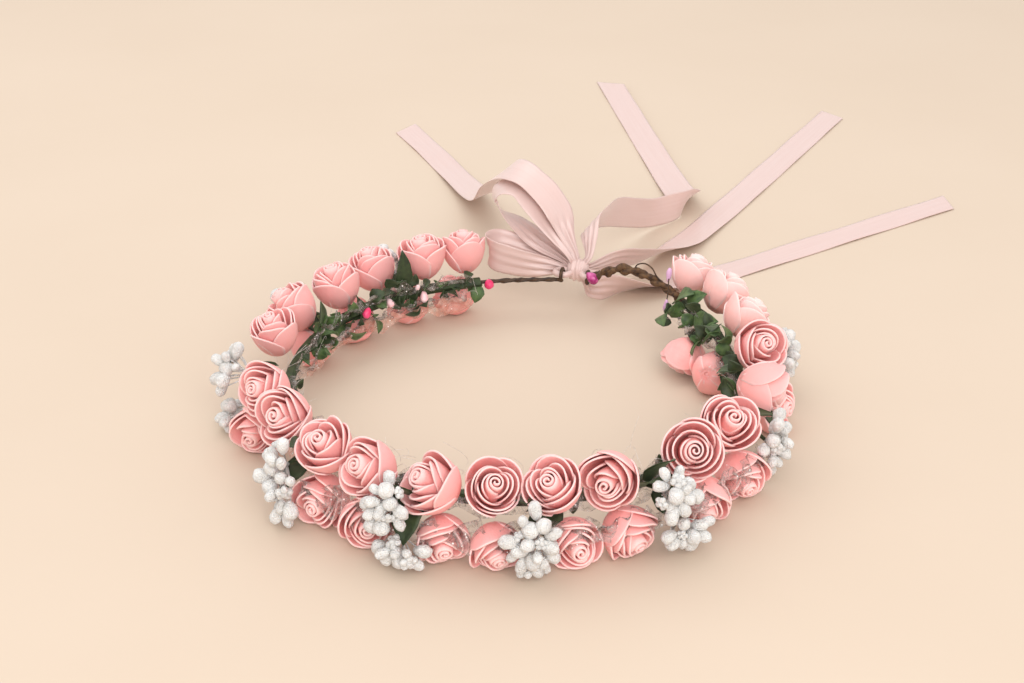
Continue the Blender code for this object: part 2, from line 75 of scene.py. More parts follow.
# --- materials ----------------------------------------------------------------------------------
class Shader:
    """A small helper round a material's node tree."""

    def __init__(self, name, **sockets):
        self.material = bpy.data.materials.new(name)
        self.material.use_nodes = True
        self.tree = self.material.node_tree
        self.out = self.tree.nodes["Material Output"]
        self.main = self.tree.nodes["Principled BSDF"]
        self.set(self.main, sockets)

    def set(self, node, values):
        for key, value in values.items():
            socket = node.inputs[key.replace("_", " ")]
            if hasattr(value, "is_output"):
                self.tree.links.new(value, socket)
            elif isinstance(value, (tuple, list)) and len(value) == 3 and socket.type == "RGBA":
                socket.default_value = (*value, 1.0)
            else:
                socket.default_value = value

    def node(self, kind, inputs=None, **settings):
        made = self.tree.nodes.new(kind)
        for key, value in settings.items():
            setattr(made, key, value)
        self.set(made, inputs or {})
        return made

    def coords(self, output="Object"):
        return self.node("ShaderNodeTexCoord").outputs[output]

    def noise(self, scale, detail=3.0, vector=None, output="Fac"):
        made = self.node("ShaderNodeTexNoise", {"Scale": scale, "Detail": detail,
                                               "Vector": vector or self.coords()})
        return made.outputs[output]

    def attribute(self, name):
        return self.node("ShaderNodeAttribute", attribute_name=name).outputs["Fac"]

    def ramp(self, fac, *stops):
        made = self.node("ShaderNodeValToRGB", {"Fac": fac})
        band = made.color_ramp
        while len(band.elements) < len(stops):
            band.elements.new(0.5)
        for element, (place, colour) in zip(band.elements, stops):
            element.position = place
            element.color = (*colour, 1.0) if len(colour) == 3 else (colour[0],) * 3 + (1.0,)
        return made.outputs["Color"]

    def mix(self, fac, first, second, blend="MIX"):
        made = self.node("ShaderNodeMix", data_type="RGBA", blend_type=blend)
        values = (fac, first, second)
        for socket, value in zip((made.inputs[0], made.inputs[6], made.inputs[7]), values):
            if hasattr(value, "is_output"):
                self.tree.links.new(value, socket)
            else:
                socket.default_value = (*value, 1.0) if isinstance(value, tuple) else value
        return made.outputs[2]

    def math(self, operation, *values):
        made = self.node("ShaderNodeMath", operation=operation)
        for socket, value in zip(made.inputs, values):
            if hasattr(value, "is_output"):
                self.tree.links.new(value, socket)
            else:
                socket.default_value = value
        return made.outputs[0]

    def bump(self, height, strength, distance):
        made = self.node("ShaderNodeBump", {"Height": height, "Strength": strength,
                                           "Distance": distance})
        self.set(self.main, {"Normal": made.outputs["Normal"]})


def foam_material(name, body, fold, rim):
    """Matte closed-cell foam with a painted shade that darkens and saturates it down into the folds,
    and pale rims that are partly the frosted cut edge and partly a painted highlight.
    """
    s = Shader(name, Roughness=0.6, Subsurface_Weight=0.12, Subsurface_Scale=0.001,
               Subsurface_Radius=(1.0, 0.35, 0.28), Sheen_Weight=0.12, Sheen_Roughness=0.5)
    s.set(s.main, {"Sheen Tint": (1.0, 0.55, 0.52)})
    patch = s.noise(160.0, 2.0)
    # painted shade: down each petal towards its base the body colour turns to the darker, more
    # saturated fold colour
    colour = s.mix(s.ramp(s.attribute("deep"), (0.25, (0.0,)), (0.95, (1.0,))), body, fold)
    colour = s.mix(s.ramp(patch, (0.35, (0.0,)), (0.75, (0.25,))), colour, rim)
    # pale rim colour at the cut edges: partly the frosted foam edge, partly a painted highlight
    grain = s.noise(2600.0, 2.0)
    edge = s.math("MULTIPLY", s.attribute("edge"), s.ramp(grain, (0.25, (0.62,)), (0.7, (1.0,))))
    colour = s.mix(edge, colour, rim)
    s.set(s.main, {"Base Color": colour})
    s.bump(s.noise(1500.0, 3.0), 0.42, 0.0004)
    return s.material


def bead_material():
    """White bead with a crust of fine frosting, with a painted shade in the hollows between its grains.
    """
    s = Shader("frosted_bead", Roughness=0.4, Subsurface_Weight=0.25, Subsurface_Scale=0.0015,
               Subsurface_Radius=(0.9, 0.8, 0.7))
    cell = s.node("ShaderNodeTexVoronoi", {"Scale": 1900.0, "Vector": s.coords()})
    # painted shade: the colour turns greyer away from each grain's centre, into the low hollows of the
    # bump
    grain_hollow_shade = s.ramp(cell.outputs["Distance"], (0.0, (1.0, 1.0, 1.0)), (0.6, (0.88, 0.87, 0.86)))
    tone = s.ramp(s.noise(300.0), (0.3, (0.70, 0.69, 0.675)), (0.6, (0.86, 0.86, 0.85)))
    s.set(s.main, {"Base Color": s.mix(0.75, tone, grain_hollow_shade, "MULTIPLY")})
    s.bump(s.math("SUBTRACT", 1.0, cell.outputs["Distance"]), 1.0, 0.0005)
    return s.material


def satin_material():
    """Thin blush satin: fine threads across the ribbon, a soft sheen, light shining through."""
    s = Shader("blush_satin", Roughness=0.3, Sheen_Weight=0.45, Sheen_Roughness=0.35,
               Specular_IOR_Level=0.7)
    s.set(s.main, {"Sheen Tint": (1.0, 0.93, 0.90)})
    uv = s.coords("UV")
    threads = s.node("ShaderNodeTexWave", {"Scale": 900.0, "Distortion": 0.4, "Vector": uv},
                     bands_direction="Y")
    streak = s.noise(1.0, 4.0, s.node("ShaderNodeMapping", {
        "Vector": uv, "Scale": (900.0, 25.0, 1.0)}).outputs[0])
    colour = s.mix(s.ramp(streak, (0.35, (0.0,)), (0.7, (1.0,))), (0.725, 0.53, 0.49),
                   (0.75, 0.565, 0.53))
    s.set(s.main, {"Base Color": colour})
    s.bump(threads.outputs["Fac"], 0.10, 0.00008)
    glow = s.node("ShaderNodeBsdfTranslucent", {"Color": (0.95, 0.74, 0.66)})
    both = s.node("ShaderNodeMixShader", {"Fac": 0.12})
    s.tree.links.new(s.main.outputs[0], both.inputs[1])
    s.tree.links.new(glow.outputs[0], both.inputs[2])
    s.tree.links.new(both.outputs[0], s.out.inputs["Surface"])
    return s.material


def leaf_material(name, dark, light):
    """Stiffened cloth leaf with a fine weave, blotchy dye and a paler rib."""
    s = Shader(name, Roughness=0.55, Sheen_Weight=0.25)
    s.set(s.main, {"Sheen Tint": (0.6, 0.75, 0.45)})
    colour = s.mix(s.ramp(s.noise(420.0, 4.0), (0.35, (0.0,)), (0.7, (1.0,))), dark, light)
    colour = s.mix(s.math("MULTIPLY", s.attribute("edge"), 0.6), colour, light)
    s.set(s.main, {"Base Color": colour})
    s.bump(s.noise(3000.0, 2.0), 0.35, 0.0002)
    return s.material


def tulle_material(name, dark, light, veil, creases):
    """Crinkled net with glitter: a see-through film, darker along its creases, and glitter flakes
    painted near-white as a painted sparkle.
    """
    s = Shader(name, Roughness=0.35)
    place = s.coords()
    spark = s.node("ShaderNodeTexVoronoi", {"Scale": 430.0, "Vector": place})
    shine = s.ramp(spark.outputs["Distance"], (0.12, (1.0,)), (0.17, (0.0,)))
    crumple = s.node("ShaderNodeTexNoise", {"Scale": 520.0, "Detail": 6.0, "Roughness": 0.75,
                                            "Distortion": 1.2, "Vector": place}).outputs["Fac"]
    fold = s.ramp(crumple, (0.50, (0.0,)), (0.62, (1.0,)))
    colour = s.mix(s.ramp(s.noise(420.0, 5.0, place), (0.4, (0.0,)), (0.6, (1.0,))), dark, light)
    # the glitter dots are painted near-white: the real glitter flakes with a painted sparkle
    s.set(s.main, {"Base Color": s.mix(shine, colour, (1.0, 0.98, 0.96))})
    net = s.math("ADD", s.math("MULTIPLY", fold, creases),
                 s.ramp(s.noise(200.0, 3.0, place), (0.35, (veil,)), (0.7, (veil + 0.25,))))
    s.set(s.main, {"Alpha": s.math("MAXIMUM", net, shine)})
    s.bump(fold, 0.7, 0.0006)
    return s.material


def plain_material(name, dark, light, roughness, grain, bump=0.3, **more):
    s = Shader(name, Roughness=roughness, **more)
    fac = s.ramp(s.noise(grain, 4.0), (0.35, (0.0,)), (0.68, (1.0,)))
    s.set(s.main, {"Base Color": s.mix(fac, dark, light)})
    s.bump(s.noise(grain * 4.0, 3.0), bump, 0.0003)
    return s.material


# each foam gives body, fold and rim colours: the fold colour is a painted shade, the rim colour partly
# a painted highlight
FOAM = foam_material("pink_foam", (0.94, 0.43, 0.415), (0.97, 0.37, 0.345), (0.98, 0.69, 0.665))
FOAM_PALE = foam_material("pale_foam", (0.97, 0.57, 0.54), (0.92, 0.40, 0.35), (1.0, 0.80, 0.76))
FOAM_VEILED = foam_material("veiled_foam", (0.97, 0.60, 0.57), (0.94, 0.45, 0.41), (1.0, 0.79, 0.76))
BEAD = bead_material()
SATIN = satin_material()
LEAF = leaf_material("leaf_cloth", (0.010, 0.020, 0.005), (0.034, 0.058, 0.016))
LEAF_BRIGHT = leaf_material("leaf_cloth_bright", (0.024, 0.055, 0.013), (0.085, 0.15, 0.040))
TULLE = tulle_material("glitter_tulle", (0.16, 0.115, 0.095), (0.66, 0.60, 0.57), 0.14, 0.62)
FILM = tulle_material("pink_film", (0.88, 0.42, 0.32), (0.96, 0.66, 0.57), 0.34, 0.3)
TWINE = plain_material("paper_twine", (0.035, 0.014, 0.006), (0.15, 0.075, 0.028), 0.75, 600.0, 0.5)
TWINE_DARK = plain_material("bound_wire", (0.022, 0.010, 0.006), (0.075, 0.040, 0.020), 0.6, 600.0, 0.4)
WIRE = plain_material("core_wire", (0.035, 0.016, 0.009), (0.10, 0.055, 0.028), 0.5, 500.0, 0.3,
                      Metallic=0.4)
TAPE = plain_material("floral_tape", (0.014, 0.026, 0.009), (0.045, 0.070, 0.022), 0.7, 350.0)
THREAD = plain_material("net_thread", (0.45, 0.38, 0.33), (0.80, 0.75, 0.71), 0.4, 900.0, 0.1)
BERRY = plain_material("deep_pink_berry", (0.70, 0.020, 0.11), (0.88, 0.09, 0.24), 0.35, 300.0, 0.15)
DROP = plain_material("pale_drop", (0.92, 0.52, 0.55), (0.97, 0.75, 0.77), 0.4, 300.0, 0.15)
MAGENTA = plain_material("magenta_facet", (0.30, 0.015, 0.12), (0.62, 0.12, 0.34), 0.2, 420.0, 0.1)
LILAC = plain_material("lilac_pip", (0.56, 0.30, 0.52), (0.75, 0.48, 0.68), 0.45, 300.0, 0.15)
FLOOR = plain_material("peach_paper", (0.615, 0.50, 0.395), (0.63, 0.515, 0.41), 0.85, 6.0, 0.05)


# --- mesh helpers -------------------------------------------------------------------------------
def finish_mesh(work, name, material):
    mesh = bpy.data.meshes.new(name)
    work.to_mesh(mesh)
    work.free()
    mesh.shade_smooth()
    mesh.materials.append(material)
    return mesh


def solid(obj, thickness):
    """Gives a sheet its thickness in mm, half on each side."""
    shell = obj.modifiers.new("thickness", "SOLIDIFY")
    shell.thickness = thickness * MM
    shell.offset = 0.0


def sheet_grid(work, columns, rows, place, values):
    """A quad grid: place(i, j) gives a point, values(i, j) the edge and deep attributes."""
    edge = work.verts.layers.float.get("edge") or work.verts.layers.float.new("edge")
    deep = work.verts.layers.float.get("deep") or work.verts.layers.float.new("deep")
    grid = []
    for i in range(columns):
        line = []
        for j in range(rows):
            vert = work.verts.new(place(i, j))
            vert[edge], vert[deep] = values(i, j)
            line.append(vert)
        grid.append(line)
    for i in range(columns - 1):
        for j in range(rows - 1):
            work.faces.new((grid[i][j], grid[i + 1][j], grid[i + 1][j + 1], grid[i][j + 1]))
    return grid


def curve_object(name, lines, material, bevel=2):
    """Poly splines of (points in mm, radius in mm or list of radii) as one curve object."""
    curve = bpy.data.curves.new(name, "CURVE")
    curve.dimensions = "3D"
    curve.bevel_depth = 1.0
    curve.bevel_resolution = bevel
    curve.use_fill_caps = True
    for points, radius in lines:
        spline = curve.splines.new("POLY")
        spline.points.add(len(points) - 1)
        for index, (spot, point) in enumerate(zip(spline.points, points)):
            spot.co = (*at(point), 1.0)
            spot.radius = MM * (radius[index] if isinstance(radius, list) else radius)
    curve.materials.append(material)
    return link(bpy.data.objects.new(name, curve))


def catmull(stations, steps):
    """Points on a smooth curve through the stations, which are rows of any number of values."""
    count = len(stations[0])
    first = [2 * a - b for a, b in zip(stations[0], stations[1])]
    last = [2 * a - b for a, b in zip(stations[-1], stations[-2])]
    rows = [first, *stations, last]
    path = []
    for i in range(1, len(rows) - 2):
        for step in range(steps):
            t = step / steps
            point = []
            for k in range(count):
                a, b, c, d = (rows[i + j][k] for j in (-1, 0, 1, 2))
                point.append(0.5 * (2 * b + (c - a) * t + (2 * a - 5 * b + 4 * c - d) * t ** 2
                                    + (3 * b - a - 3 * c + d) * t ** 3))
            path.append(point)
    path.append(list(stations[-1]))
    return path


# --- roses --------------------------------------------------------------------------------------
ROSE_RADIUS = 9.2
# rings: (petals, half width in degrees, rim radius, rim height, base radius, flare, sideways)
RINGS = [
    (2, 108, 0.46, 0.76, 0.12, 0.00, 0.03), (3, 80, 0.63, 0.72, 0.16, 0.03, 0.08),
    (3, 80, 0.83, 0.64, 0.22, 0.06, 0.11), (4, 68, 1.02, 0.50, 0.26, 0.08, 0.05),
]
PETAL_COLUMNS, PETAL_ROWS = 15, 10


def add_petal(work, rng, turn, half, rim_r, rim_z, base_r, flare, shift):
    """A cupped petal with a rounded top, one side tucked under its neighbour."""
    droop = rng.uniform(0.40, 0.68)
    power = rng.uniform(2.1, 3.0)
    tuck = rng.uniform(0.05, 0.09)
    side = rng.choice((-1, 1))
    pinch = rng.uniform(0.0, 0.16) * rim_r
    wave, phase = rng.uniform(0.0, 0.018), rng.uniform(0, 6.28)
    peak = rng.uniform(-0.25, 0.25)

    def spot(i, j):
        u = 2 * i / (PETAL_COLUMNS - 1) - 1
        t = 1 - (1 - j / (PETAL_ROWS - 1)) ** 1.5
        v = t * (1 - droop * abs(u - peak * (1 - u * u)) ** power)
        r = base_r + (rim_r - base_r) * (1 - (1 - min(v, 1)) ** 2.7)
        curl = flare * v ** 5 * (1 - 0.4 * u * u)
        r += curl + tuck * u * v + wave * math.sin(3.4 * u + phase) * v ** 3
        r += pinch * max(side * u, 0.0) ** 3 * v ** 3
        z = -0.90 + (rim_z + 0.90) * v ** 1.15 - 0.4 * curl
        a = turn + u * half
        return Vector((r * math.cos(a), r * math.sin(a), z)) + shift * v

    # edge marks the rim that takes the partly painted rim highlight; deep runs down the petal and sets
    # the painted fold shade
    def tint(i, j):
        u = abs(2 * i / (PETAL_COLUMNS - 1) - 1)
        border = 1.0 if j == PETAL_ROWS - 1 or u > 0.999 else 0.0
        if j == PETAL_ROWS - 2:
            border = 0.22
        return border, 1.0 - j / (PETAL_ROWS - 1)

    sheet_grid(work, PETAL_COLUMNS, PETAL_ROWS, spot, tint)


def rose_mesh(seed):
    """One foam rose of unit radius, +Z out of its heart: a rolled bud and rings of petals."""
    rng = random.Random(seed)
    work = bmesh.new()
    turns = rng.uniform(2.1, 2.6)
    count = 56
    open_side = rng.uniform(0, 6.28)
    for petals, half, rim_r, rim_z, base_r, flare, aside in RINGS:
        start = rng.uniform(0, 6.28)
        lean = open_side + rng.uniform(-0.5, 0.5)
        shift = Vector((math.cos(lean), math.sin(lean), 0)) * aside
        for k in range(petals):
            add_petal(work, rng, start + (k + rng.uniform(-0.12, 0.12)) * 2 * math.pi / petals,
                      math.radians(half + rng.uniform(-7, 7)), rim_r * rng.uniform(0.96, 1.04),
                      rim_z + rng.uniform(-0.05, 0.05), base_r, flare * rng.uniform(0.3, 1.4),
                      shift)

    def spot(i, j):
        t = i / (count - 1)
        a = t * turns * 2 * math.pi
        top = 0.03 + 0.33 * t ** 0.9 + 0.010 * math.sin(2.3 * a)
        down = j / 4
        r = top + down * (0.03 + 0.14 * t)
        z = 0.88 - 0.10 * t * t - down * 0.95 - (0.3 * (t - 0.95) / 0.05 if t > 0.95 else 0.0)
        return Vector((r * math.cos(a), r * math.sin(a), z))

    # the bud's top row takes the partly painted rim highlight, its lower rows the painted fold shade
    sheet_grid(work, count, 5, spot,
               lambda i, j: (0.9 if j == 0 else 0.0, min(0.1 + 0.35 * j, 0.8)))
    bmesh.ops.create_cone(work, cap_ends=True, segments=20, radius1=0.13, radius2=0.42, depth=1.0,
                          matrix=Matrix.Translation((0, 0, -0.32)))
    return finish_mesh(work, f"rose_{seed}", FOAM)


ROSE_MESHES = [rose_mesh(seed) for seed in (3, 8, 12, 21, 30, 37, 44, 58)]

# node: (angle, distance, height, size, facing azimuth, facing elevation, stretch)
TOP_ROSES = [
    (103, 97, 28, 0.98, 100, 75, 1.15), (114.5, 94.5, 29, 1.00, 150, 82, 1.15),
    (128, 97, 28, 1.00, 160, 72, 1.15), (141, 94, 28, 1.00, 175, 74, 1.15),
    (156, 97, 27.5, 1.05, 178, 48, 1.1), (170, 94, 28, 0.95, 205, 75, 1.15),
    (199, 94, 29, 1.00, -130, 25, 1.0), (211, 93, 28, 1.05, -120, 30, 1.0),
    (227.7, 94, 28.5, 1.00, -125, 55, 1.0), (239.7, 94, 28, 1.02, -140, 30, 1.0),
    (253.8, 95, 28, 1.05, -150, 40, 1.0), (265.7, 94, 28.5, 0.95, -80, 45, 1.0),
    (277.3, 95, 28.5, 0.98, -115, 50, 1.0), (289.2, 94, 28.5, 1.02, -110, 10, 1.0),
    (309.5, 93, 29, 1.05, -90, 30, 0.95), (323.5, 91.5, 29, 1.05, -80, 50, 0.95),
    (343, 93, 28, 1.05, -10, -20, 1.0), (2, 91.5, 29, 1.02, -65, 35, 1.0),
    (18.5, 96, 28, 1.00, 25, 45, 1.05), (31, 99, 29, 1.00, 40, 45, 1.05),
    (43, 101, 29, 0.98, 50, 60, 1.05),
]
BOTTOM_ROSES = [
    (136, 93, 8.3, 0.95, 136, 10, 1.0), (194, 97, 8.8, 1.00, -110, -10, 1.0),
    (227.5, 96, 8.8, 1.00, -120, 0, 1.0), (239, 97, 8.3, 0.95, -80, 5, 1.0),
    (255.6, 96, 8.3, 0.95, -80, -15, 1.0), (266.2, 97.5, 8.1, 0.92, -75, -20, 1.0),
    (281.2, 97, 8.3, 0.95, -70, 0, 1.0), (292.4, 97, 8.8, 1.00, -55, -20, 1.0),
    (312, 95, 8.8, 1.00, -80, -30, 1.0), (325, 96, 8.8, 1.00, -65, -20, 1.0),
    (356, 97, 8.8, 1.00, -35, 5, 1.0), (27, 77.0, 8.1, 0.92, -165, -66, 0.95),
    (14, 80.0, 8.3, 0.92, 60, -25, 0.95),
]
HIDDEN_ROSES = [(119, 93, 8.3, 0.92, 118, -5, 1.0), (106, 94, 8.3, 0.92, 104, -5, 1.0),
                (152, 93, 8.3, 0.92, 150, -5, 1.0)]
PALE = {"rose_top_19", "rose_top_20", "rose_top_21"}


SQUASH_BELOW = 1.6          # mm above the table, where a lower rose starts to be squashed
SQUASH_SHARE = 0.32         # how much of its depth below that is kept
TABLE_GAP = 0.45            # its lowest point, which leaves room for half the petal thickness
LOWER_ROW_TOP = 12.0        # centres below this height are of the lower row
PETAL_THICKNESS = 0.6       # mm, for a mesh in place
UNIT_PETAL_THICKNESS = 0.062        # share of the radius, for a mesh that is scaled to its size


def stand_on_table(obj):
    """The rose's own mesh in place, squashed where it would go through the table."""
    mesh = obj.data.copy()
    mesh.transform(obj.matrix_world)
    for vert in mesh.vertices:
        z = vert.co.z / MM
        if z < SQUASH_BELOW:
            kept = SQUASH_BELOW - (SQUASH_BELOW - z) * SQUASH_SHARE
            vert.co.z = MM * max(kept, TABLE_GAP)
    return mesh


def make_look_rose(name, number, rose):
    angle, distance, height, size, azimuth, elevation, stretch = rose
    obj = link(bpy.data.objects.new(name, ROSE_MESHES[number % len(ROSE_MESHES)]))
    turn = direction(azimuth, elevation).to_track_quat("Z", "Y").to_matrix().to_4x4()
    spin = Matrix.Rotation(math.radians(number * 77), 4, "Z")
    radius = ROSE_RADIUS * size * MM
    shape = Matrix.Diagonal((radius, radius, radius * stretch, 1.0))
    centre = at(polar(angle, distance, height))
    obj.matrix_world = Matrix.Translation(centre) @ turn @ spin @ shape
    if height < LOWER_ROW_TOP:
        obj.data = stand_on_table(obj)
        obj.matrix_world = Matrix.Identity(4)
        solid(obj, PETAL_THICKNESS)
    else:
        solid(obj, UNIT_PETAL_THICKNESS / MM)
    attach(obj, "crown")
    return obj


def place_roses(label, roses):
    for index, rose in enumerate(roses, 1):
        node = f"{label}_{index:02d}"
        obj = make_look_rose(f"foam_{node}", index * 3 + len(label), rose)
        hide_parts(node)
        if node in PALE:
            obj.material_slots[0].link = "OBJECT"
            obj.material_slots[0].material = FOAM_VEILED if node == "rose_top_21" else FOAM_PALE


place_roses("rose_top", TOP_ROSES)
place_roses("rose_bottom", BOTTOM_ROSES)
for hidden_index, hidden_rose in enumerate(HIDDEN_ROSES, 1):
    make_look_rose(f"foam_hidden_{hidden_index:02d}", hidden_index * 5, hidden_rose)


# --- stamen sprays ------------------------------------------------------------------------------
# angle, hub height, tilt, beads, width and height of the bunch, how far it hangs and leans aside,
# and how far it reaches from its hub where that is not SPRAY_REACH
STAMEN_SPRAYS = [
    (120.9, 20.0, 26, 11, 7.5, 7.5, 0.0, 0.0), (183, 20.5, 24, 14, 8.0, 8.5, 0.0, 0.0),
    (184, 8.0, -20, 11, 8.0, 5.5, 0.5, 0.0), (216.5, 15.0, 0, 22, 9.0, 17.0, -2.0, 11.5),
    (247, 20.5, 24, 14, 7.5, 8.5, 0.0, 0.0), (247.5, 8.0, -20, 12, 8.5, 5.0, -2.5, 3.0),
    (273.7, 16.0, -2, 20, 8.0, 12.5, 1.5, -1.5), (300, 20.0, 22, 13, 8.0, 7.5, -3.0, -2.0),
    (302, 8.0, -20, 12, 8.5, 6.0, -4.0, 0.0), (336.5, 13.0, -5, 18, 8.0, 12.5, -3.0, -3.0, 4.0),
    (11, 16.0, 0, 16, 7.5, 10.5, 0.0, 0.0), (148.2, 20.0, 24, 11, 7.5, 8.0, 0.0, 3.0),
]
HUB_DISTANCE = 98.0
SPRAY_REACH = 10.0
BEAD_SIZES = (2.5, 1.8, 2.2, 1.6, 2.7, 1.9, 2.3, 1.7, 2.1)
BEAD_LENGTHS = (1.3, 1.7, 1.6, 1.4, 1.1, 1.8, 1.5, 1.6, 1.6)


def add_bead(work, centre, pointing, width, length, seed, lumps=0.06):
    """A frosted drop: fuller at its free end, lumpy all over."""
    turn = pointing.to_track_quat("Z", "Y").to_matrix().to_4x4()
    made = bmesh.ops.create_icosphere(work, subdivisions=3, radius=1.0)
    for vert in made["verts"]:
        p = vert.co.copy()
        grow = 1.0 + 0.20 * p.z
        lump = 0.12 * noise.noise(p * 1.9 + Vector((seed * 3.1, 0, 0)))
        lump += lumps * noise.noise(p * 6.5 + Vector((0, seed * 1.7, 0)))
        p = Vector((p.x * grow * width, p.y * grow * width, p.z * length)) * (1.0 + lump)
        vert.co = at(centre) + (turn @ p) * MM


def spread(points, sizes, rounds=30):
    """Push overlapping beads apart."""
    for _ in range(rounds):
        for a in range(len(points)):
            for b in range(a):
                gap = points[a] - points[b]
                want = (sizes[a] + sizes[b]) * 0.88
                if gap.length < want:
                    push = gap.normalized() * (want - gap.length) * 0.5
                    points[a] += push
                    points[b] -= push


def make_spray(index, angle, height, tilt, beads, width, tall, drop, aside, reach=SPRAY_REACH):
    rng = random.Random(index * 11)
    hub = polar(angle, HUB_DISTANCE, height)
    out = direction(angle, tilt)
    side = polar(angle + 90, 1, 0)
    up = out.cross(side).normalized()
    up = up if up.z > 0 else -up
    middle = hub + out * reach - Vector((0, 0, drop)) + side * aside
    points, sizes = [], []
    for i in range(beads):
        far = math.sqrt((i + 0.5) / beads)
        turn = math.radians(i * 137.5 + index * 50)
        p = middle + side * width * far * math.cos(turn) + up * tall * far * math.sin(turn)
        points.append(p + out * (2.5 - 5.0 * far * far + rng.uniform(-1.8, 1.8)))
        sizes.append(BEAD_SIZES[(i + index) % 9] * rng.uniform(0.92, 1.06))
    spread(points, sizes)
    work = bmesh.new()
    wires = []
    for i, (bead, size) in enumerate(zip(points, sizes)):
        long = size * BEAD_LENGTHS[(i + index) % 9]
        bead.z = max(bead.z, long * 1.12 + 0.4)
        way = (bead - middle + out * 2.0 - Vector((0, 0, 1.5))).normalized()
        way = (way + up * rng.uniform(-0.3, 0.3) + side * rng.uniform(-0.3, 0.3)).normalized()
        if i % 6 == 3:
            for k in range(5):
                petal = Matrix.Rotation(k * 1.2566, 3, way) @ way.orthogonal().normalized()
                add_bead(work, bead + petal * size * 0.62, petal, size * 0.5, size * 0.62,
                         index * 20 + i + k, 0.12)
            add_bead(work, bead + way * size * 0.2, way, size * 0.5, size * 0.5, i, 0.12)
        else:
            add_bead(work, bead, way, size, size * BEAD_LENGTHS[(i + index) % 9], index * 20 + i)
        bend = (hub + bead) / 2 + Vector((rng.uniform(-1, 1), rng.uniform(-1, 1), 0.8))
        wires.append(([hub - way, bend, bead], 0.26))
    mesh = finish_mesh(work, f"beads_{index}", BEAD)
    spray = link(bpy.data.objects.new(f"stamens_{index:02d}", mesh))
    stems = curve_object(f"stamen_wires_{index:02d}", wires, BEAD, 1)
    root = polar(angle, 87.5, 18.0)
    stalk = [root, (root + hub) / 2 + Vector((0, 0, 0.8)), hub, hub + out * 2.0]
    bound = curve_object(f"stamen_stalk_{index:02d}", [(stalk, 0.7)], TAPE, 2)
    for piece, slot in ((spray, "stamen"), (stems, "stamen"), (bound, "tape")):
        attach(piece, "crown")
    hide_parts(f"stamen_spray_{index:02d}")


for number, row in enumerate(STAMEN_SPRAYS, 1):
    make_spray(number, *row)


# --- leaves and foliage -------------------------------------------------------------------------
LEAF_BOW = 1.4              # mm, how far a leaf arches between root and tip
LEAF_TIPPED = 1.3           # above 1, its widest place is nearer the root than the tip


def add_leaf(work, root, tip, across, width, seed):
    """A cloth leaf from root to tip, cupped along its rib and a little twisted."""
    rng = random.Random(seed)
    along = tip - root
    length = along.length
    along = along.normalized()
    across = (across - along * across.dot(along)).normalized()
    upward = along.cross(across).normalized()
    twist = rng.uniform(-0.5, 0.5)
    columns, rows = 11, 7

    def spot(i, j):
        t = i / (columns - 1)
        s = 2 * j / (rows - 1) - 1
        half = 0.5 * width * max(math.sin(math.pi * t ** (1.0 / LEAF_TIPPED)) ** 0.8, 0.03)
        half *= 1 + 0.05 * math.sin(19 * t)
        turn = twist * (t - 0.3)
        side = across * math.cos(turn) + upward * math.sin(turn)
        rise = LEAF_BOW * math.sin(math.pi * t) + 0.22 * half * abs(s) ** 1.5
        return at(root + along * length * t + side * half * s + upward * rise)

    sheet_grid(work, columns, rows, spot,
               lambda i, j: (1.0 if j == rows // 2 else 0.0, 0.0))


def leaf_object(name, leaves, material, replaces=()):
    work = bmesh.new()
    for index, leaf in enumerate(leaves):
        add_leaf(work, *leaf, seed=index + len(name))
    obj = link(bpy.data.objects.new(name, finish_mesh(work, name, material)))
    solid(obj, 0.3)
    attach(obj, "crown")
    for node in replaces:
        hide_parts(node)


def sideways(angle):
    return polar(angle + 90, 1, 0)


# angle, root distance and height, tip distance and height, width
NODE_LEAVES = [
    (124.3, 84.5, 21.3, 82.0, 40.0, 8), (158.5, 84.5, 21.3, 81.5, 35.0, 7),
    (300.0, 88.5, 21.3, 103.0, 36.0, 9),
]
for number, (angle, r0, z0, r1, z1, width) in enumerate(NODE_LEAVES, 1):
    leaf_object(f"leaf_look_{number:02d}", [
        (polar(angle, r0, z0 - 2), polar(angle, r1, z1), sideways(angle), width)], LEAF,
        replaces=(f"leaf_{number:02d}",))

# root, tip, direction across, width
BIG_LEAVES = [
    (polar(246, 90, 10), polar(248.5, 104, 31), sideways(247), 13),
    (polar(249, 92, 26), polar(250, 106, 10), sideways(249), 12),
    (polar(299, 88, 18), polar(297, 106, 30), sideways(299), 11),
    (polar(301, 90, 18), polar(303, 104, 8), sideways(301), 12),
    (polar(335, 90, 24), polar(338, 103, 22), sideways(338), 8),
    (polar(345, 89, 20), polar(343, 99, 12), sideways(345), 9),
    (polar(177, 90, 20), polar(181, 104, 19), sideways(179) + Vector((0, 0, 0.6)), 10),
    (polar(190, 90, 18), polar(189, 103, 22), sideways(189), 9),
    (polar(219, 90, 20), polar(221, 101, 27), sideways(219), 9),
    (polar(219, 92, 16), polar(220, 105, 9), sideways(219), 10),
    (polar(272, 90, 20), polar(272, 100, 26), sideways(272), 10),
    (polar(275, 90, 17), polar(277, 101, 12), sideways(275), 12),
    (polar(120, 89, 16), polar(122, 104, 22), sideways(120), 11),
    (polar(150, 89, 14), polar(152, 104, 20), sideways(150), 11),
    (polar(12, 89, 18), polar(12, 103, 15), sideways(12), 11),
    (polar(165, 85, 17), polar(163, 79, 24), sideways(165), 6),
]
leaf_object("leaves_big", BIG_LEAVES, LEAF)


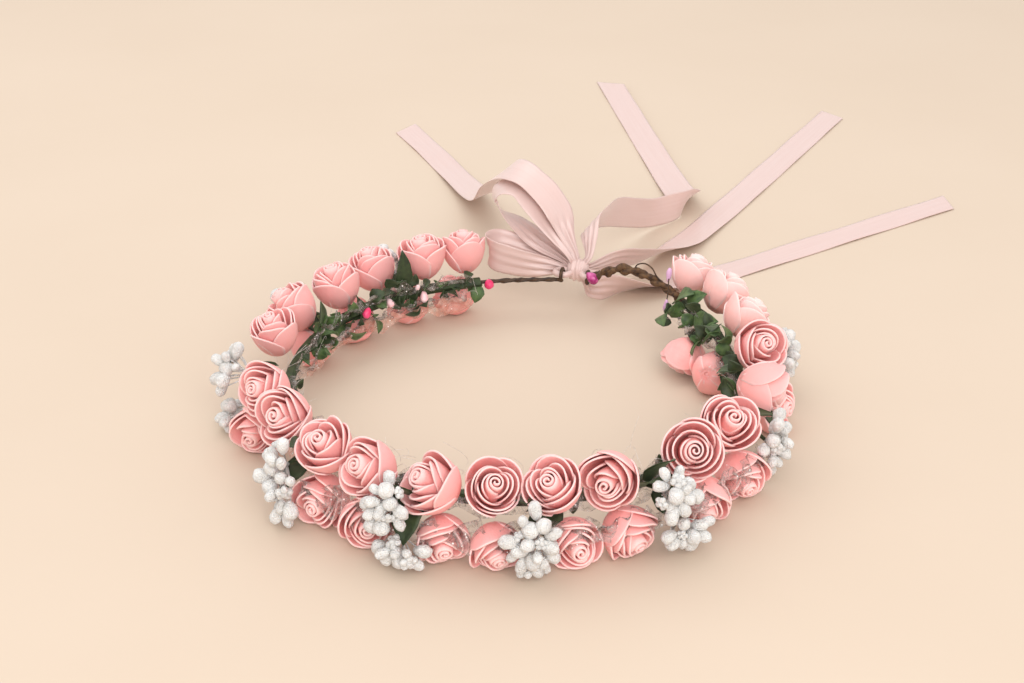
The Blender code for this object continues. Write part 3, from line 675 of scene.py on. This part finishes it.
def curly_foliage():
    """Small folded leaf scraps along the inner side of the hoop, under the roses."""
    rng = random.Random(5)
    dark, bright = [], []
    spans = [(103, 112, 6), (116, 168, 46), (170, 232, 14), (235, 300, 10), (305, 332, 5),
             (332, 402, 46)]
    for begin, end, count in spans:
        inner = 116 <= begin <= 168 or begin == 332
        for k in range(count):
            angle = begin + (end - begin) * (k + rng.random()) / count
            r = 83.5 - rng.uniform(0, 3.0 if inner else 1.0)
            z = rng.uniform(12, 25) if inner else rng.uniform(14, 20)
            root = polar(angle, r + 2, z)
            reach = rng.uniform(5.5, 9.0) * (1.0 if inner else 0.7)
            way = direction(angle + 180 + rng.uniform(-80, 80), rng.uniform(-40, 60))
            tip = root + way * reach
            side = way.cross(direction(rng.uniform(0, 360), rng.uniform(-60, 60)))
            leaf = (root, tip, side, rng.uniform(4.5, 7.0))
            (bright if rng.random() < 0.35 else dark).append(leaf)
    leaf_object("foliage_dark", dark, LEAF)
    leaf_object("foliage_bright", bright, LEAF_BRIGHT)


curly_foliage()
SCRAPS = [
    (Vector((66, 56, 22)), Vector((72, 47, 30)), Vector((1, 0, 1)), 9),
    (Vector((70, 50, 24)), Vector((77, 45, 31)), Vector((0, 1, 1)), 7),
    (Vector((62, 54, 18)), Vector((60, 42, 18)), Vector((1, 0, 1)), 7),
    (Vector((72, 42, 20)), Vector((80, 30, 26)), Vector((0, 1, 1)), 8),
    (Vector((75, 34, 16)), Vector((70, 26, 13)), Vector((1, 0, 1)), 7),
    (Vector((-15, 83, 17)), Vector((-17, 80, 10)), Vector((1, 0, 0)), 6),
    (Vector((-14, 84, 18)), Vector((-20, 83, 14)), Vector((0, 0, 1)), 6),
]
leaf_object("leaf_scraps", SCRAPS, LEAF_BRIGHT)


# --- tulle --------------------------------------------------------------------------------------
# a strip that is modelled narrower than this is still declared to be this wide
LOWEST_NET = 1.6            # mm above the table


def tulle_strip(name, begin, end, r, z, width, seed, depth=2.6, slope=0.55, material=TULLE):
    """A crumpled strip of glitter net gathered along the hoop."""
    rng = random.Random(seed)
    columns = int((end - begin) * 2.2)
    rows = 7
    shift = Vector((rng.uniform(0, 50), rng.uniform(0, 50), 0))

    def spot(i, j):
        angle = begin + (end - begin) * i / (columns - 1)
        s = j / (rows - 1)
        p = polar(angle, r, z) * 0.11
        a = noise.noise(p * 1.3 + shift)
        b = noise.noise(p * 2.6 + shift + Vector((9, 0, s * 2)))
        c = noise.noise(p * 1.8 + shift + Vector((0, 9, s * 3)))
        rr = r - width * (s - 0.5) * slope + depth * b * (0.4 + s)
        zz = z + width * (s - 0.5) * (0.45 + 0.5 * a) + depth * c * (0.4 + s)
        return at(polar(angle + 1.2 * a, rr, max(zz, LOWEST_NET)))

    work = bmesh.new()
    grid = sheet_grid(work, columns, rows, spot, lambda i, j: (0.0, 0.0))
    area = sum(face.calc_area() for face in work.faces)
    obj = link(bpy.data.objects.new(name, finish_mesh(work, name, material)))
    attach(obj, "crown")


tulle_strip("tulle_back_left", 103, 172, 81.3, 21.5, 12.5, 1, 3.4, 0.3)
tulle_strip("tulle_back_low", 104, 168, 81.5, 13.5, 12.5, 11, 3.4, 0.4)
tulle_strip("tulle_left", 172, 235, 84, 19, 10, 2)
tulle_strip("tulle_front", 235, 305, 88, 19.5, 15, 3)
tulle_strip("tulle_right", 305, 362, 84.5, 19, 12, 4)
tulle_strip("tulle_back_right", 362, 401, 85.5, 20, 12, 5)
tulle_strip("tulle_inner_right", 335, 396, 82.0, 17, 12.5, 12, 3.4, 0.4)
tulle_strip("tulle_under", 225, 330, 101, 14, 16, 6, 3.4, 0.2)
tulle_strip("film_back_left", 103, 168, 82.5, 9.5, 15, 7, 2.0, 0.25, FILM)
tulle_strip("film_left", 172, 226, 88, 11, 14, 8, 2.6, 0.35, FILM)


def threads():
    """Loose curling threads of the net, above and inside the roses."""
    rng = random.Random(17)
    lines = []
    spans = [(238, 300, 34, 22, 44), (100, 175, 16, 14, 30), (305, 400, 22, 12, 34),
             (176, 236, 18, 18, 38)]
    for begin, end, count, low, high in spans:
        for _ in range(count):
            angle = rng.uniform(begin, end)
            p = polar(angle, rng.uniform(80, 92), rng.uniform(low, low + 8))
            way = direction(angle + 180 + rng.uniform(-60, 60), rng.uniform(30, 85))
            bend = direction(rng.uniform(0, 360), rng.uniform(-50, 50)) * rng.uniform(0.45, 0.9)
            points = []
            for _ in range(rng.randint(8, 13)):
                points.append(p.copy())
                p = p + way * 1.2
                way = (way + bend + Vector((0, 0, -0.06))).normalized()
                if p.z > high or p.z < 1.0:
                    way.z = -way.z
            lines.append((points, 0.06))
    obj = curve_object("net_threads", lines, THREAD, 0)
    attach(obj, "crown")


threads()


# --- berries and small drops --------------------------------------------------------------------
def pip(name, centre, pointing, width, length, material, seed, stem):
    """A small drop or berry on the end of a short wire that starts at stem."""
    work = bmesh.new()
    add_bead(work, Vector(centre), Vector(pointing).normalized(), width, length, seed)
    obj = link(bpy.data.objects.new(name, finish_mesh(work, name, material)))
    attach(obj, "crown")
    line = curve_object(name + "_stem", [([Vector(centre), Vector(stem)], 0.25)], WIRE, 1)
    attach(line, "crown")


pip("drop_pale", (-38.0, 70.4, 17.4), (0.1, -0.4, -1), 1.7, 2.4, DROP, 1, (-39, 74, 20))
pip("berry_pink", (-60.0, 49.8, 20.1), (-0.4, -0.5, -1), 1.7, 2.3, BERRY, 2, (-62, 54, 20))
pip("berry_back", (-10.9, 83.3, 17.3), (0.2, -0.2, -1), 2.0, 2.2, BERRY, 3, (-11, 85, 19))
pip("drop_peach", (-51.5, 61.2, 19.1), (0.5, -0.4, -0.6), 1.5, 2.0, DROP, 4, (-53, 64, 19))
pip("drop_small", (-40.5, 69.5, 22.0), (0.3, -0.2, 0.8), 1.0, 1.6, DROP, 5, (-41, 72, 20))
pip("pip_lilac_top", (62.9, 58.9, 33.0), (0.1, 0.1, 1), 1.1, 3.0, LILAC, 6, (62.5, 55, 27))
pip("pip_lilac_low", (61.6, 52.6, 22.0), (-0.1, -0.1, -1), 1.1, 2.6, LILAC, 7, (62.5, 55, 27))
pip("pip_magenta", (32.7, 78.1, 22.6), (0.6, -0.3, -0.5), 2.2, 3.1, MAGENTA, 8, (36, 80.5, 25))


# --- wire, tape and twine -----------------------------------------------------------------------
def by_hinge(along, out, up):
    return HINGE + along * HINGE_AXIS + out * HINGE_OUT + up * Vector((0, 0, 1))


for node, material in (("frame_wire", WIRE), ("tape_wrap", TAPE)):
    obj = frame["nodes"][node]
    obj.data.materials.clear()
    obj.data.materials.append(material)

LEFT_ARM = [polar(100, 85, 18), polar(92, 85.6, 18.0), polar(86, 86.6, 17.9),
            by_hinge(-8.5, 0.2, -2.7), by_hinge(-6.8, 0.1, -2.7)]
RIGHT_ARM = [polar(400, 91, 20), Vector((65.5, 62.5, 22.6)), Vector((59.5, 67.2, 25.6)),
             Vector((52.5, 71.6, 27.6)), Vector((45.0, 75.3, 27.8)), Vector((39.0, 77.8, 25.8)),
             by_hinge(9.6, -3.2, 2.4), by_hinge(6.6, -2.8, 0.9)]


def twisted(name, stations, node, radius, strand, pitch, begin, end, knobs, material):
    """Two strands of paper twine laid round the wire, knobbly where they were twisted hard."""
    rng = random.Random(len(name))
    path = [Vector(p) for p in catmull(stations, 14)]
    path = path[int(begin * len(path)):int(end * len(path))]
    lines = []
    length = 0.0
    run = [0.0]
    for a, b in zip(path, path[1:]):
        length += (b - a).length
        run.append(length)
    for k in range(2):
        points, radii = [], []
        for index, p in enumerate(path):
            before, after = path[max(index - 1, 0)], path[min(index + 1, len(path) - 1)]
            along = (after - before).normalized()
            side = along.cross(Vector((0, 0, 1))).normalized()
            up = side.cross(along)
            turn = 2 * math.pi * run[index] / pitch + k * math.pi
            knob = 1.0 + knobs * noise.noise(p * 0.45 + Vector((k * 7, 0, 0)))
            points.append(p + (side * math.cos(turn) + up * math.sin(turn)) * radius * knob)
            radii.append(strand * knob * (0.55 if index in (0, len(path) - 1) else 1.0))
        lines.append((points, radii))
    obj = curve_object(name, lines, material, 3)
    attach(obj, "crown")
    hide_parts(node)


twisted("twine_left_look", LEFT_ARM, "left_arm_twine", 0.42, 0.62, 13.0, 0.0, 0.80, 0.45, TWINE_DARK)
twisted("twine_right_look", RIGHT_ARM, "right_arm_twine", 0.85, 1.15, 14.0, 0.0, 0.92, 0.5, TWINE)
LOOSE_END = [Vector((50, 73, 28.5)), Vector((51, 72, 31.5)), Vector((54, 71, 32.5)),
             Vector((57, 69.5, 31)), Vector((59, 67, 28.0)), Vector((61, 65, 26.5))]
whisker = curve_object("wire_whisker", [([Vector(p) for p in catmull(LOOSE_END, 5)], 0.3)], WIRE, 2)
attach(whisker, "crown")


# --- satin ribbon -------------------------------------------------------------------------------
# stations: centre x, y, z, then the direction across the ribbon, then its share of the full width
RIBBON_WIDTH = 15.0
RIBBONS = {
    "bow_loop_up": [
        (24.4, 91.5, 26.0, 0.7, 0.5, -0.4, 0.35), (20.5, 95.5, 32.0, 0.75, 0.6, -0.2, 0.7),
        (15.0, 99.5, 40.0, 0.7, 0.7, 0.1, 0.95), (9.0, 103.0, 47.0, 0.5, 0.8, 0.3, 1.0),
        (3.0, 108.0, 51.0, 0.15, 1.0, 0.15, 1.0), (-4.0, 112.0, 50.5, -0.1, 1.0, 0.0, 1.0),
        (-8.5, 114.0, 46.0, -0.2, 1.0, -0.2, 1.0), (-6.5, 112.5, 40.5, -0.1, 0.9, -0.3, 1.0),
        (1.0, 108.5, 35.5, 0.2, 0.9, 0.0, 0.95), (10.0, 103.0, 29.5, 0.5, 0.7, 0.3, 0.7),
        (20.5, 96.3, 24.3, 0.5, 0.5, 0.6, 0.3)],
    "bow_loop_left": [
        (20.5, 98.3, 18.3, 0.1, 0.3, 0.9, 0.3), (12.0, 100.5, 22.0, 0.3, 0.4, 0.85, 0.7),
        (2.0, 101.5, 25.0, 0.2, 0.3, 0.9, 0.9), (-7.0, 101.5, 27.5, 0.1, 0.3, 0.9, 0.95),
        (-11.0, 97.5, 27.5, -0.1, 0.2, 0.95, 0.95), (-8.0, 94.2, 25.5, -0.2, 0.0, 0.95, 0.95),
        (0.0, 93.6, 23.0, -0.1, -0.1, 0.95, 0.9), (8.0, 93.6, 21.3, 0.0, -0.1, 0.95, 0.8),
        (15.0, 93.8, 20.5, 0.0, -0.1, 0.95, 0.6), (21.6, 93.2, 20.0, 0.1, -0.2, 0.95, 0.3)],
    "ribbon_tail_left": [
        (26.0, 93.6, 27.0, 0.7, 0.5, -0.4, 0.3), (22.5, 97.4, 34.6, 0.75, 0.5, -0.2, 0.6),
        (19.0, 101.0, 43.5, 0.7, 0.7, 0.1, 1.0), (12.5, 105.5, 51.5, 0.5, 0.8, 0.3, 1.0),
        (4.5, 112.5, 56.0, 0.3, 0.9, 0.2, 1.0), (-3.0, 125.0, 53.5, 0.5, 0.8, 0.2, 1.0),
        (-9.0, 145.0, 41.0, 0.8, 0.5, 0.3, 1.0), (-14.0, 179.0, 20.0, 0.9, 0.3, 0.3, 1.0),
        (-20.0, 216.0, 6.5, 0.95, 0.25, 0.1, 1.0), (-32.0, 256.0, 1.2, 0.92, 0.38, 0.0, 1.0),
        (-46.0, 292.0, 0.6, 0.93, 0.36, 0.0, 1.0), (-62.0, 329.0, 0.6, 0.93, 0.36, 0.0, 1.0)],
    "ribbon_tail_up": [
        (31.8, 91.6, 26.6, 0.5, -0.8, 0.2, 0.3), (32.4, 96.6, 32.2, 0.6, -0.6, 0.4, 0.55),
        (33.0, 106.0, 35.0, 0.5, -0.4, 0.7, 0.85), (37.5, 119.0, 33.0, 0.35, -0.4, 0.85, 1.0),
        (45.0, 140.0, 27.0, 0.2, -0.3, 0.93, 1.0), (54.5, 161.0, 18.0, 0.1, -0.2, 0.98, 1.0),
        (66.0, 180.0, 10.0, 0.05, -0.1, 1.0, 1.0), (77.0, 191.0, 8.0, 0.03, 0.0, 1.0, 1.0),
        (85.0, 199.0, 8.0, 0.2, -0.3, 0.93, 1.0), (87.0, 210.0, 6.0, 0.8, -0.3, 0.5, 1.0),
        (84.0, 228.0, 3.0, 0.97, 0.05, 0.2, 1.0), (76.0, 290.0, 1.3, 0.99, 0.12, 0.1, 1.0),
        (60.0, 411.0, 1.2, 0.99, 0.12, 0.1, 1.0)],
    "ribbon_tail_back": [
        (34.0, 95.0, 20.5, 0.3, 0.2, 0.9, 0.3), (45.0, 107.5, 18.5, 0.6, 0.0, 0.7, 0.8),
        (62.0, 130.0, 9.5, 0.75, -0.25, 0.55, 1.0), (77.0, 155.0, 4.0, 0.85, -0.45, 0.2, 1.0),
        (91.0, 180.0, 1.2, 0.86, -0.5, 0.05, 1.0), (128.0, 246.0, 0.6, 0.86, -0.52, 0.0, 1.0),
        (187.0, 353.0, 0.6, 0.86, -0.52, 0.0, 1.0)],
    "ribbon_tail_right": [
        (31.0, 93.0, 14.2, 0.5, 0.5, 0.7, 0.3), (34.0, 97.0, 9.4, 0.5, 0.3, 0.75, 0.6),
        (41.0, 101.5, 7.4, 0.45, 0.0, 0.8, 0.9), (51.0, 106.5, 5.2, 0.4, -0.6, 0.65, 1.0),
        (65.0, 113.0, 2.5, 0.42, -0.85, 0.25, 1.0), (85.0, 124.0, 0.9, 0.45, -0.88, 0.0, 1.0),
        (105.0, 137.0, 0.6, 0.54, -0.84, 0.0, 1.0), (160.0, 175.0, 0.6, 0.57, -0.82, 0.0, 1.0),
        (221.0, 217.0, 0.6, 0.57, -0.82, 0.0, 1.0)],
}
KNOT_OUT = 6.4              # mm, from the hinge to the middle of the knot
KNOT = HINGE + KNOT_OUT * HINGE_OUT
KNOT_SHARE = 0.24           # share of its width that a ribbon keeps inside the knot
KNOT_RADIUS = 4.3
EYELET_OFFSET = 5.6         # mm along the hinge, from its middle to each eyelet
STRAND_RADIUS = 1.35
LOWEST_SATIN = 0.35         # mm above the table
# how far the far end of a tail is cut on the slant, in mm either side of its middle
SLANTS = {"ribbon_tail_left": 4.5, "ribbon_tail_up": -6.0, "ribbon_tail_back": -3.0,
          "ribbon_tail_right": -4.5}


def into_knot(station, share):
    """The station where a ribbon comes out of the knot, in line with its first free station."""
    middle = KNOT.lerp(Vector(station[:3]), 0.42)
    return (*middle, *station[3:6], share)


def make_ribbon(name, stations):
    """A satin ribbon along its stations, gathered in folds where it is drawn into the knot."""
    stations = [into_knot(stations[0], KNOT_SHARE), *stations]
    if name not in SLANTS:
        stations.append(into_knot(stations[-1], KNOT_SHARE))
    rows = catmull(stations, 8)
    rows.insert(-1, [a * 0.06 + b * 0.94 for a, b in zip(rows[-2], rows[-1])])
    centres = [Vector(row[:3]) for row in rows]
    run = [0.0]
    for a, b in zip(centres, centres[1:]):
        run.append(run[-1] + (b - a).length)
    columns, count = len(rows), 17
    phase = len(name) * 0.7
    slant = SLANTS.get(name, 0.0)

    def spot(i, j):
        s = 2 * j / (count - 1) - 1
        before = centres[max(i - 1, 0)]
        after = centres[min(i + 1, columns - 1)]
        along = (after - before).normalized()
        across = Vector(rows[i][3:6])
        across = (across - along * across.dot(along)).normalized()
        face = along.cross(across)
        share = min(max(rows[i][6], 0.2), 1.0)
        half = 0.5 * RIBBON_WIDTH * share
        gather = min(1.0, 2.4 * (1 - share))
        pleat = 1.25 * gather * math.sin(10.5 * s + phase) * (0.55 + 0.45 * math.cos(2 * s))
        soft = 0.35 * math.sin(run[i] * 0.11 + phase) * s if share > 0.9 else 0.0
        p = centres[i] + across * half * s + face * (pleat + soft * 0.6)
        p = p + along * slant * s * (run[i] / run[-1]) ** 2
        return at((p.x, p.y, max(p.z, LOWEST_SATIN)))

    work = bmesh.new()
    uv = work.loops.layers.uv.new("UVMap")
    grid = sheet_grid(work, columns, count, spot, lambda i, j: (0.0, 0.0))
    index = {vert: (i, j) for i, line in enumerate(grid) for j, vert in enumerate(line)}
    for face in work.faces:
        for loop in face.loops:
            i, j = index[loop.vert]
            loop[uv].uv = (RIBBON_WIDTH * MM * j / (count - 1), run[i] * MM)
    obj = link(bpy.data.objects.new(f"satin_{name}", finish_mesh(work, name, SATIN)))
    solid(obj, 0.22)
    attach(obj, "bow")
    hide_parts(name)


def make_knot():
    """The gathered knot: a crumpled band wrapped round the ribbon, with the eyelet strands."""
    work = bmesh.new()
    columns, rows = 33, 48

    def spot(i, j):
        a = 2 * i / (columns - 1) - 1
        turn = 2 * math.pi * j / rows
        pleat = 0.32 * math.sin(13.0 * a + 1.1 * math.sin(turn) + 0.7 * math.cos(2 * turn))
        pinch = (1 - 0.26 * a * a) * math.sqrt(max(1 - a ** 8, 0.0))
        r = (KNOT_RADIUS + pleat * (1 - a * a)) * pinch + 0.25 * noise.noise(Vector((a * 2, turn, 0)))
        return at(by_hinge(4.8 * a, KNOT_OUT + r * math.cos(turn), 1.12 * r * math.sin(turn)))

    sheet_grid(work, columns, rows + 1, spot, lambda i, j: (0.0, 0.0))
    bmesh.ops.remove_doubles(work, verts=work.verts, dist=1e-6)
    mesh = finish_mesh(work, "knot", SATIN)
    knot = link(bpy.data.objects.new("satin_knot", mesh))
    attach(knot, "bow")
    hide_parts("bow_knot")
    lines = []
    for side in (-1, 1):
        s = side * EYELET_OFFSET
        route = [by_hinge(side * 1.5, 5.0, 0.0), by_hinge(s - side * 2.6, 1.6, 0.0),
                 by_hinge(s - side * 1.2, 0.2, 0.0), by_hinge(s + side * 1.0, 0.1, 0.0),
                 by_hinge(s + side * 2.8, 1.0, 0.0), by_hinge(s + side * 3.4, 3.0, 0.0),
                 by_hinge(s + side * 2.2, 4.9, 0.0), by_hinge(s, 5.4, 0.0),
                 by_hinge(side * 2.0, KNOT_OUT, 0.0)]
        lines.append(([Vector(p) for p in catmull(route, 5)], STRAND_RADIUS))
    strands = curve_object("satin_strands", lines, SATIN, 3)
    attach(strands, "bow")


make_knot()


# --- floor, light and camera --------------------------------------------------------------------
bpy.ops.mesh.primitive_plane_add(size=60.0, location=(0, 0, 0))
floor = bpy.context.object
floor.name = "floor"
floor.data.materials.append(FLOOR)

# the tails rest on the floor, so they are made after it
for ribbon_name, ribbon_stations in RIBBONS.items():
    make_ribbon(ribbon_name, ribbon_stations)


def lamp(name, place, target, size, power, colour):
    light = bpy.data.lights.new(name, "AREA")
    light.size = size
    light.energy = power
    light.color = colour
    obj = link(bpy.data.objects.new(name, light))
    obj.location = ORIGIN + Vector(place)
    obj.rotation_euler = (Vector(target) - Vector(place)).to_track_quat("-Z", "Y").to_euler()


lamp("key", (-0.30, 0.42, 1.05), (0, 0, 0), 1.3, 5.0, (1.0, 0.99, 0.975))
lamp("fill", (0.25, -1.30, 0.86), (0, 0, 0), 1.2, 15.5, (1.0, 0.98, 0.965))
world = bpy.data.worlds.new("studio")
world.use_nodes = True
world.node_tree.nodes["Background"].inputs["Color"].default_value = (1.0, 0.985, 0.97, 1.0)
world.node_tree.nodes["Background"].inputs["Strength"].default_value = 0.98
bpy.context.scene.world = world
bpy.context.scene.view_settings.view_transform = "Standard"

ELEVATION = math.radians(27.3)
DISTANCE = 0.602
TARGET = ORIGIN + Vector((-0.0011, 0.0247, 0.02))
camera_data = bpy.data.cameras.new("camera")
camera_data.lens = 54.0
camera = link(bpy.data.objects.new("camera", camera_data))
back = Vector((0.0, -math.cos(ELEVATION), math.sin(ELEVATION)))
camera.location = TARGET + back * DISTANCE
camera.rotation_euler = (-back).to_track_quat("-Z", "Y").to_euler()
camera_data.clip_start = 0.02
bpy.context.scene.camera = camera
